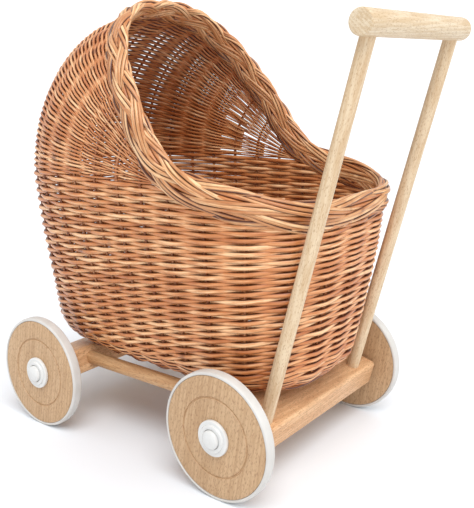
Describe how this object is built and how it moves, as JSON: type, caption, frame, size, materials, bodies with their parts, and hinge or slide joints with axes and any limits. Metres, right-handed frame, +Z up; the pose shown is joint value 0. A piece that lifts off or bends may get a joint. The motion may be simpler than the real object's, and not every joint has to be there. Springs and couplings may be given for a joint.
{
  "type": "doll stroller",
  "caption": "Wicker doll stroller: woven basket with a fixed hood on a beech chassis with disc wheels and a round push handle.",
  "frame": {"origin": "centre of the overall box on the floor, in the mid-plane", "axes": "+X the way it is pushed (hood end), +Y its left side, +Z up; wheels turn about Y"},
  "size_m": [0.58, 0.335, 0.5787],
  "materials": {
    "pale_beech": "clear matt lacquer on pale beech",
    "warm_beech": "clear matt lacquer on redder beech",
    "disc_beech": "clear matt lacquer on fine-grained beech",
    "willow": "orange-brown peeled willow rods, lightly glossy",
    "willow_border": "paler peeled willow rods in a plaited border",
    "white_tyre": "smooth matt off-white rubber",
    "white_plastic": "glossy white moulded plastic",
    "steel": "zinc-plated steel"
  },
  "bodies": {
    "chassis": {"arm_left": "pale_beech", "arm_right": "pale_beech", "arm_screw_left": "steel", "arm_screw_right": "steel", "axle_cap_front_left": "white_plastic", "axle_cap_front_right": "white_plastic", "axle_cap_rear_left": "white_plastic", "axle_cap_rear_right": "white_plastic", "basket_base": "willow", "basket_border": "willow_border", "basket_hood": "willow", "basket_screw_front_left": "steel", "basket_screw_front_right": "steel", "basket_screw_rear_left": "steel", "basket_screw_rear_right": "steel", "basket_wall": "willow", "basket_washer_front_left": "steel", "basket_washer_front_right": "steel", "basket_washer_rear_left": "steel", "basket_washer_rear_right": "steel", "front_axle": "steel", "front_board": "warm_beech", "handle_bar": "pale_beech", "rail_left": "warm_beech", "rail_right": "warm_beech", "rear_axle": "steel", "rear_board": "warm_beech", "spacer_front_left": "white_plastic", "spacer_front_right": "white_plastic", "spacer_rear_left": "white_plastic", "spacer_rear_right": "white_plastic"},
    "wheel_front_left": {"hub_bush_front_left": "white_plastic", "tyre_front_left": "white_tyre", "wheel_disc_front_left": "disc_beech"},
    "wheel_front_right": {"hub_bush_front_right": "white_plastic", "tyre_front_right": "white_tyre", "wheel_disc_front_right": "disc_beech"},
    "wheel_rear_left": {"hub_bush_rear_left": "white_plastic", "tyre_rear_left": "white_tyre", "wheel_disc_rear_left": "disc_beech"},
    "wheel_rear_right": {"hub_bush_rear_right": "white_plastic", "tyre_rear_right": "white_tyre", "wheel_disc_rear_right": "disc_beech"}
  },
  "joints": [
    {"name": "front_left_wheel_spin", "type": "hinge", "parent": "chassis", "child": "wheel_front_left", "pos_m": [0.20061, 0.1494, 0.075], "axis": [0, 1, 0], "continuous": true},
    {"name": "front_right_wheel_spin", "type": "hinge", "parent": "chassis", "child": "wheel_front_right", "pos_m": [0.20061, -0.1494, 0.075], "axis": [0, 1, 0], "continuous": true},
    {"name": "rear_left_wheel_spin", "type": "hinge", "parent": "chassis", "child": "wheel_rear_left", "pos_m": [-0.11299, 0.1494, 0.075], "axis": [0, 1, 0], "continuous": true},
    {"name": "rear_right_wheel_spin", "type": "hinge", "parent": "chassis", "child": "wheel_rear_right", "pos_m": [-0.11299, -0.1494, 0.075], "axis": [0, 1, 0], "continuous": true}
  ]
}
